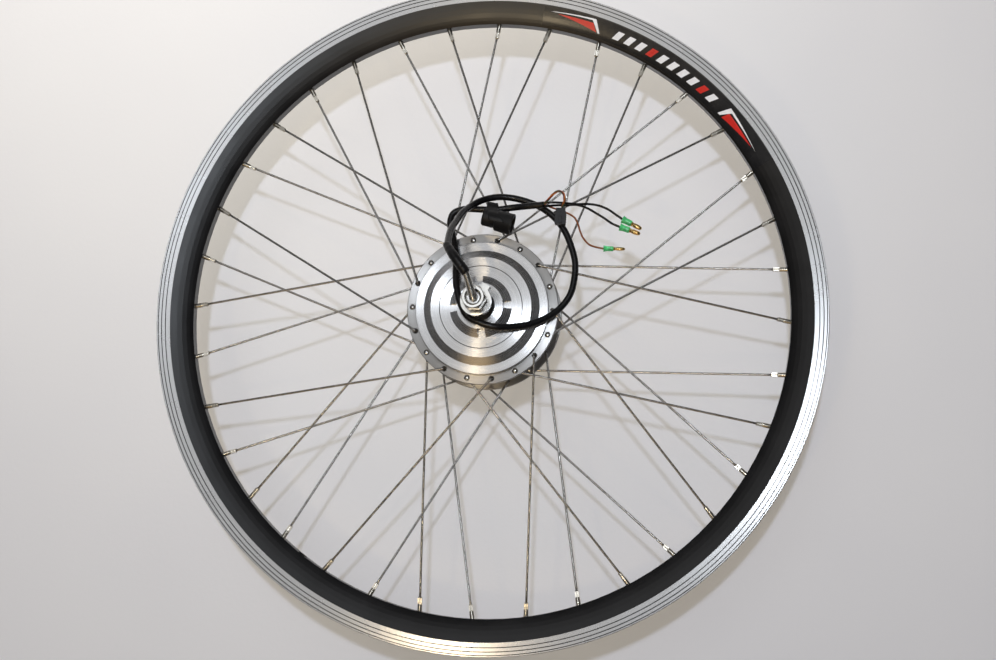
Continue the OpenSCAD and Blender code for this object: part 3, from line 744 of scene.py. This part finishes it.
def rubber_cap():
    """Moulded cap of the axle nut, with a strap and loop that keep it on the cable."""
    cup = lathe([(r * MM, d * MM) for r, d in (
        (0, 0.0), (5.6, 0.0), (6.9, 0.35), (7.35, 1.2), (7.4, 2.0), (7.35, 9.3), (7.0, 9.9),
        (6.9, 10.6), (7.3, 11.2), (8.5, 11.9), (8.9, 12.8), (8.95, 24.2), (9.1, 24.6),
        (9.1, 25.6), (8.8, 26.0), (7.8, 26.0), (7.45, 25.6), (7.4, 24.8), (7.4, 13.4),
        (6.9, 12.6), (5.9, 12.0), (5.9, 2.6), (5.3, 2.0), (0, 2.0))], CAP_FROM,
        CAP_TO - CAP_FROM, 64)
    ring = [(r * MM, d * MM) for r, d in (
        (3.8, -3.7), (4.0, -4.0), (4.8, -4.0), (5.0, -3.7), (5.0, 4.2), (4.8, 4.5), (4.0, 4.5),
        (3.8, 4.2))]
    loop = lathe(ring, CAP_LOOP_AT, (1, 0.07, 0), 40, closed=True)
    path = mm([(4.6, 89.0, 33.6), (4.9, 87.6, 35.9), (5.6, 84.6, 37.4), (6.6, 81.3, 40.6),
               (8.0, 77.6, 44.4), (9.6, 73.6, 46.6), (10.6, 70.4, 46.4)])
    line = curve_through(path, 6)
    widths = [(6.4 + 7.0 * (i / (len(line) - 1)) ** 0.8) * MM for i in range(len(line))]
    strap = band_mesh(line, widths, 1.7 * MM, (0.985, -0.17, 0))
    obj = new_piece("rubber_nut_cap", *join(cup, loop, strap), "rubber", "axle_set",
                    "black_rubber")
    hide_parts("nut_cap")
    return obj


cap = rubber_cap()


# ---------- spokes and nipples ----------

# Spokes in a group, degrees from one to the next, and from a nipple to its flange hole
PER_GROUP = 9
STEP = 40
REACH = 40
HOLE_R = 59 * MM
RIM_BED = 255.5
BED_R = RIM_BED * MM
NEAR_Z = 28 * MM
FAR_Z = -15 * MM
FLANGE_T = 3 * MM
SPOKE_R = 1.0 * MM
# Group: [first nipple, turn to the hole, height of the spoke, height of the head, node]
GROUPS = [
    (0, REACH, NEAR_Z + 1.9 * MM, NEAR_Z - FLANGE_T - 0.45 * MM, "spokes_left_outer"),
    (20, -REACH, NEAR_Z - FLANGE_T - 1.1 * MM, NEAR_Z + 0.1 * MM, "spokes_left_inner"),
    (10, REACH, FAR_Z + FLANGE_T + 1.1 * MM, FAR_Z - 0.1 * MM, "spokes_right_inner"),
    (30, -REACH, FAR_Z - 1.5 * MM, FAR_Z + FLANGE_T + 0.45 * MM, "spokes_right_outer"),
]


def polar(r, degrees, z):
    a = math.radians(degrees)
    return Vector((r * math.cos(a), r * math.sin(a), z))


def spoke(group, i):
    """Head, short shank through the flange, a rounded elbow and the straight run."""
    start, turn, z, head_z, _ = group
    hole = polar(HOLE_R, start + turn + i * STEP, z)
    bed = polar(BED_R, start + i * STEP, 0)
    run = (bed - hole).normalized()
    up = 1 if z > head_z else -1
    bend = 1.9 * MM
    line = [Vector((hole.x, hole.y, head_z))]
    line.append(Vector((hole.x, hole.y, z - up * bend * 1.4)))
    corner = hole
    a, b = corner - Vector((0, 0, up * bend)), corner + run * bend
    for k in range(9):
        t = k / 8
        line.append(a * (1 - t) ** 2 + corner * 2 * t * (1 - t) + b * t * t)
    total = (bed - hole).length
    for k in range(1, 13):
        line.append(hole + run * (bend + (total + 1 * MM - bend) * k / 12))
    shaft = tube_mesh(line, [SPOKE_R] * len(line), 12)
    dome = [(r * MM, d * MM) for r, d in (
        (0, -0.9), (1.1, -0.9), (1.5, -0.55), (1.78, -0.3), (1.8, -0.1), (1.6, 0.15),
        (1.15, 0.33), (0.6, 0.42), (0, 0.44))]
    head = lathe(dome, line[0], (0, 0, -up), 20)
    return join(shaft, head)


def nipple(group, i):
    """Tapered barrel with a square drive and a small collar at the spoke."""
    start, turn, z, _, _ = group
    hole = polar(HOLE_R, start + turn + i * STEP, z)
    bed = polar(BED_R, start + i * STEP, 0)
    out = (bed - hole).normalized()
    profile = [(1.03, -12.0), (1.35, -12.0), (1.6, -11.7), (1.7, -11.2), (1.7, -7.0),
               (1.85, -6.2), (1.98, -5.4), (1.98, 2.3), (2.8, 2.9), (3.05, 3.6), (2.8, 4.2),
               (1.3, 4.2), (1.03, 3.6)]
    barrel = lathe([(r * MM, d * MM) for r, d in profile], bed, out, 20, closed=True)
    flat = 1.62 * MM
    low, high = bed - out * 11.2 * MM, bed - out * 6.4 * MM
    side = Vector((-out.y, out.x, 0)).normalized()
    other = out.cross(side)
    verts = [p + flat * (u * side + v * other) for p in (low, high)
             for u, v in ((-1, -1), (1, -1), (1, 1), (-1, 1))]
    faces = [(0, 1, 2, 3), (7, 6, 5, 4), (0, 4, 5, 1), (1, 5, 6, 2), (2, 6, 7, 3), (3, 7, 4, 0)]
    return join(barrel, (verts, faces))


def lace():
    for g in GROUPS:
        obj = new_piece("plain_" + g[4], *join(*[spoke(g, i) for i in range(PER_GROUP)]),
                        "stainless", "wheel", "stainless_steel")
        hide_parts(g[4])
    both = [nipple(g, i) for g in GROUPS for i in range(PER_GROUP)]
    obj = new_piece("nipple_set", *join(*both), "nickel", "wheel", "nickel_plate")
    mod = obj.modifiers.new("edges", "EDGE_SPLIT")
    mod.split_angle = math.radians(40)
    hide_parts("nipples")


lace()


# ---------- rim decal ----------

WALL_DEPTH = 18.5


def wall_height(r):
    """Height of the rim's rounded side wall, in millimetres, between the steps it is made of."""
    steps = (0, 1, 2.6, 5.2, 8.8, 13, WALL_DEPTH)
    inward = [1 - d / WALL_DEPTH for d in steps]
    z = [12 - 7.5 * (0.8 * t + 0.2 * t ** 4) for t in inward]
    d = min(max(r - RIM_BED, 0), WALL_DEPTH)
    for i in range(len(steps) - 1):
        if d <= steps[i + 1]:
            t = (d - steps[i]) / (steps[i + 1] - steps[i])
            return z[i] * (1 - t) + z[i + 1] * t
    return z[-1]


def wall_patch(corners, lift, n=30, m=8):
    """A four-cornered patch on the wall; each corner is (degrees, radius in mm)."""
    verts, faces = [], []
    (a0, r0), (a1, r1), (a2, r2), (a3, r3) = corners
    for i in range(n + 1):
        u = i / n
        for j in range(m + 1):
            v = j / m
            a = (a0 * (1 - u) + a1 * u) * (1 - v) + (a3 * (1 - u) + a2 * u) * v
            r = (r0 * (1 - u) + r1 * u) * (1 - v) + (r3 * (1 - u) + r2 * u) * v
            verts.append(polar(r * MM, a, (wall_height(r) + lift) * MM))
    for i in range(n):
        for j in range(m):
            k = i * (m + 1) + j
            faces.append((k, k + 1, k + m + 2, k + m + 1))
    return verts, faces


def stickers():
    band = wall_patch([(30, 257.6), (81.5, 257.6), (81.5, 272.8), (30, 272.8)], 0.12, 200, 14)
    red = [wall_patch([(78.8, 268), (72.0, 268), (71.0, 261.5), (71.0, 261.5)], 0.16),
           wall_patch([(33.8, 264), (41.2, 266.5), (41.8, 260), (41.8, 260)], 0.16)]
    white = [wall_patch([(80.2, 269.2), (71.7, 271.6), (71.9, 270.1), (79.4, 269.0)], 0.16),
             wall_patch([(71.7, 271.6), (70.3, 261.2), (70.7, 261.2), (72.3, 270.1)], 0.16),
             wall_patch([(32.6, 264.6), (41.7, 270.4), (41.4, 268.2), (33.2, 264.8)], 0.16),
             wall_patch([(41.7, 270.4), (42.9, 260.2), (42.3, 260.2), (40.9, 268.2)], 0.16)]
    for i in range(10):
        a = 45.4 + i * 2.35
        bar = wall_patch([(a, 261.4), (a + 1.25, 261.4), (a + 0.45, 268.6), (a - 0.8, 268.6)],
                         0.16, 8, 8)
        (red if i in (1, 6) else white).append(bar)
    for name, parts, material in (("rim_sticker_band", [band], "decal_black"),
                                  ("rim_sticker_red", red, "decal_red"),
                                  ("rim_sticker_white", white, "decal_white")):
        new_piece(name, *join(*parts), material, "wheel", "black_plastic")


stickers()


# ---------- threads ----------


def helix(r_at, z0, z1, pitch, wire, per_turn=36):
    steps = int(abs(z1 - z0) / pitch * per_turn)
    line = []
    for i in range(steps + 1):
        a = 360 * i / per_turn
        line.append(polar(r_at(a) * MM, a, (z0 + (z1 - z0) * i / steps) * MM))
    taper = [wire * MM * min(1.0, 0.2 + i / per_turn * 3, 0.2 + (steps - i) / per_turn * 3)
             for i in range(steps + 1)]
    return tube_mesh(line, taper, 5)


# Direction of the axle's two flats, in degrees from X
FLATS_AT = 60


def axle_thread_r(a):
    """Radius of the thread crest, sunk where the axle has its two flats."""
    across = abs(math.cos(math.radians(a - FLATS_AT - 90)))
    return min(5.82, 5.0 / max(across, 0.01) - 0.55)


threads = [helix(axle_thread_r, side * 72.8, side * 80.3, 1.25, 0.33) for side in (1, -1)]
new_piece("axle_thread_crests", *join(*threads), "axle", "axle_set", "axle_steel")
new_piece("freewheel_thread_crests", *helix(lambda a: 17.22, -43.6, -33.9, 1.06, 0.3, 72),
          "cast", "wheel", "cast_aluminium")


# ---------- floor and light ----------


def make_floor():
    z = cad_lo[2] - 0.0002
    r = 6.0
    n = 96
    verts = [Vector((0, 0, z))] + [polar(r, 360 * k / n, z) for k in range(n)]
    faces = [(0, k + 1, (k + 1) % n + 1) for k in range(n)]
    mesh = bpy.data.meshes.new("floor")
    mesh.from_pydata([tuple(v) for v in verts], [], faces)
    mesh.materials.append(floor_paint())
    obj = bpy.data.objects.new("floor", mesh)
    bpy.context.collection.objects.link(obj)
    return r, z


def make_backdrop(r, z, height=3.2):
    """A plain pale wall round the floor. Only the camera sees it, so it lights nothing."""
    n = 96
    verts = []
    for k in range(n):
        verts += [polar(r, 360 * k / n, z), polar(r, 360 * k / n, z + height)]
    faces = [(2 * k, (2 * k + 2) % (2 * n), (2 * k + 3) % (2 * n), 2 * k + 1) for k in range(n)]
    mesh = bpy.data.meshes.new("backdrop")
    mesh.from_pydata([tuple(v) for v in verts], [], faces)
    s = Shader("backdrop_paint", (0.0, 0.0, 0.0), 1.0)
    s.bsdf.inputs["Specular IOR Level"].default_value = 0.0
    s.bsdf.inputs["Emission Color"].default_value = (0.135, 0.130, 0.124, 1)
    s.bsdf.inputs["Emission Strength"].default_value = 1.0
    mesh.materials.append(s.mat)
    obj = bpy.data.objects.new("backdrop", mesh)
    obj.visible_diffuse = False
    obj.visible_glossy = False
    obj.visible_transmission = False
    obj.visible_shadow = False
    bpy.context.collection.objects.link(obj)


def area_light(name, at, size, watts, color, seen_by, shadow=True):
    """A round light aimed at the hub, seen by matt surfaces (no reflection) or by gloss."""
    data = bpy.data.lights.new(name, "AREA")
    data.shape = "DISK"
    data.size = size
    data.energy = watts
    data.color = color
    data.use_shadow = shadow
    obj = bpy.data.objects.new(name, data)
    obj.location = at
    obj.rotation_mode = "QUATERNION"
    obj.rotation_quaternion = (-Vector(at)).to_track_quat("-Z", "Y")
    obj.visible_glossy = seen_by != "matt"
    obj.visible_diffuse = seen_by != "gloss"
    bpy.context.collection.objects.link(obj)


def make_world():
    """A dim room: pale ceiling, dark walls, a warm patch to the south, a pale one low north."""
    world = bpy.data.worlds.new("room")
    bpy.context.scene.world = world
    world.use_nodes = True
    tree = world.node_tree

    def node(kind, **props):
        n = tree.nodes.new(kind)
        for key, value in props.items():
            setattr(n, key, value)
        return n

    place = node("ShaderNodeTexCoord").outputs["Generated"]
    overhead = node("ShaderNodeVectorMath", operation="DOT_PRODUCT")
    overhead.inputs[1].default_value = Vector((-0.16, 0.26, 1.0)).normalized()
    tree.links.new(place, overhead.inputs[0])
    ramp = node("ShaderNodeValToRGB")
    tree.links.new(overhead.outputs["Value"], ramp.inputs[0])
    stops = [(0.0, (0.030, 0.028, 0.026)), (0.35, (0.035, 0.032, 0.030)),
             (0.80, (0.045, 0.043, 0.04)), (0.92, (0.22, 0.215, 0.21)), (0.97, (0.86, 0.86, 0.86))]
    ramp.color_ramp.elements[0].position = stops[0][0]
    ramp.color_ramp.elements[0].color = (*stops[0][1], 1)
    ramp.color_ramp.elements[1].position = stops[-1][0]
    ramp.color_ramp.elements[1].color = (*stops[-1][1], 1)
    for at, color in stops[1:-1]:
        ramp.color_ramp.elements.new(at).color = (*color, 1)
    total = ramp.outputs[0]
    patches = [((-0.15, -0.80, 0.58), (1.0, 0.66, 0.30), 0.92, 0.98, 0.8),
               ((-0.55, 0.80, -0.40), (0.93, 0.95, 1.0), 0.80, 0.97, 1.3)]
    for way, color, low, high, gain in patches:
        dot = node("ShaderNodeVectorMath", operation="DOT_PRODUCT")
        dot.inputs[1].default_value = Vector(way).normalized()
        tree.links.new(place, dot.inputs[0])
        edge = node("ShaderNodeMapRange", interpolation_type="SMOOTHSTEP")
        tree.links.new(dot.outputs["Value"], edge.inputs["Value"])
        edge.inputs["From Min"].default_value = low
        edge.inputs["From Max"].default_value = high
        tint = node("ShaderNodeMix", data_type="RGBA", blend_type="ADD", clamp_result=False)
        tint.inputs[7].default_value = tuple(c * gain for c in color) + (1,)
        tree.links.new(edge.outputs[0], tint.inputs[0])
        tree.links.new(total, tint.inputs[6])
        total = tint.outputs[2]
    sky = tree.nodes["Background"]
    tree.links.new(total, sky.inputs["Color"])
    sky.inputs["Strength"].default_value = 1.0


make_backdrop(*make_floor())
make_world()
KEY_AT = (0.14, 0.19, 2.2)
LAMP_AT = (-0.37, -0.72, 2.2)
area_light("key", KEY_AT, 0.10, 15, (0.70, 0.78, 1.0), "matt")
area_light("key_glint", KEY_AT, 0.10, 6, (0.84, 0.91, 1.0), "gloss")
area_light("lamp", LAMP_AT, 0.14, 2, (1.0, 0.80, 0.52), "matt")
area_light("lamp_glint", LAMP_AT, 0.14, 6, (1.0, 0.80, 0.52), "gloss")
area_light("panel", (-0.40, 0.92, 0.75), 0.7, 12, (1.0, 0.95, 0.87), "matt", shadow=False)
